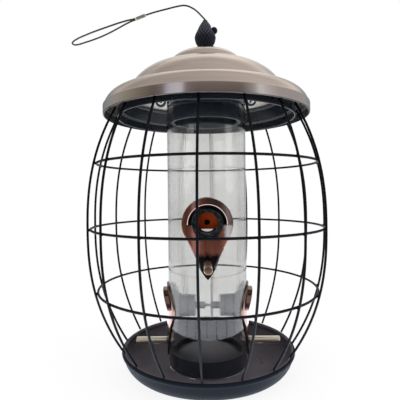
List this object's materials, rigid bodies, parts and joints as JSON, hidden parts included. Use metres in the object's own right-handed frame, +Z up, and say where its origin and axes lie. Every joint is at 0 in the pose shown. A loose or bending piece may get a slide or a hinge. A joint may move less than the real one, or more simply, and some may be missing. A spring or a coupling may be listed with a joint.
{
  "type": "bird feeder",
  "caption": "Hanging seed feeder: clear tube with perched ports inside a barrel-shaped wire cage, under a stepped dome lid that slides up its cable, over a dished catch tray.",
  "frame": {"origin": "centre of the tray's flat underside, where the feeder stands", "axes": "+Z up along the tube, -Y towards the front port, +X towards the cord lock's button"},
  "size_m": [0.2454, 0.2286, 0.3549],
  "materials": {
    "clear_plastic": "clear moulded polycarbonate, glossy",
    "champagne_metal": "brushed champagne copper, satin",
    "antique_copper": "antique copper plate with dark patina",
    "black_coat": "black powder coat, semi-gloss",
    "tray_coat": "dark brown-grey hammered coat, satin",
    "black_plastic": "moulded black plastic",
    "grey_plastic": "moulded grey plastic",
    "perch_brass": "brushed, lacquered",
    "screw_steel": "zinc plated",
    "cable_steel": "stranded steel with a dark coat",
    "ferrule_metal": "crimped, dull"
  },
  "bodies": {
    "frame": {"seed_tray": "tray_coat", "tray_screw": "screw_steel", "base_seat": "black_plastic", "seed_tube": "clear_plastic", "port_hood_upper_front": "antique_copper", "port_hood_upper_back": "antique_copper", "port_hood_lower_left": "antique_copper", "port_hood_lower_right": "antique_copper", "port_sleeve_upper_front": "grey_plastic", "port_sleeve_upper_back": "grey_plastic", "port_sleeve_lower_left": "grey_plastic", "port_sleeve_lower_right": "grey_plastic", "perch_upper_front": "perch_brass", "perch_upper_back": "perch_brass", "perch_lower_left": "perch_brass", "perch_lower_right": "perch_brass", "perch_screw_upper_front": "screw_steel", "perch_screw_upper_back": "screw_steel", "perch_screw_lower_left": "screw_steel", "perch_screw_lower_right": "screw_steel", "tie_screw_upper": "screw_steel", "tie_screw_lower": "screw_steel", "cage_wire_01": "black_coat", "cage_wire_02": "black_coat", "cage_wire_03": "black_coat", "cage_wire_04": "black_coat", "cage_wire_05": "black_coat", "cage_wire_06": "black_coat", "cage_wire_07": "black_coat", "cage_wire_08": "black_coat", "cage_wire_09": "black_coat", "cage_wire_10": "black_coat", "cage_wire_11": "black_coat", "cage_wire_12": "black_coat", "cage_wire_13": "black_coat", "cage_wire_14": "black_coat", "cage_wire_15": "black_coat", "cage_wire_16": "black_coat", "cage_ring_upper": "black_coat", "cage_ring_middle": "black_coat", "cage_ring_lower": "black_coat", "cage_top_ring": "black_coat", "tube_collar": "black_plastic", "bail_wire": "black_coat", "cable_crimp": "ferrule_metal", "cable_core": "cable_steel"},
    "lid": {"lid_shell": "champagne_metal", "lid_grommet": "black_plastic"},
    "lock": {"cord_lock": "black_plastic", "lock_spring": "screw_steel", "hanger_cable": "cable_steel", "hanger_ferrule": "ferrule_metal", "hanger_loop": "cable_steel"},
    "button": {"lock_button": "black_plastic"}
  },
  "joints": [
    {"name": "lid_lift", "type": "slide", "parent": "frame", "child": "lid", "axis": [0, 0, 1], "range_m": [0, 0.045], "deforming": ["cable_core"]},
    {"name": "lock_slide", "type": "slide", "parent": "lid", "child": "lock", "axis": [0, 0, 1], "range_m": [0, 0.02], "deforming": ["cable_core"]},
    {"name": "button_press", "type": "slide", "parent": "lock", "child": "button", "axis": [-1, 0, 0], "range_m": [0, 0.002], "stiffness_N_per_m": 400}
  ]
}
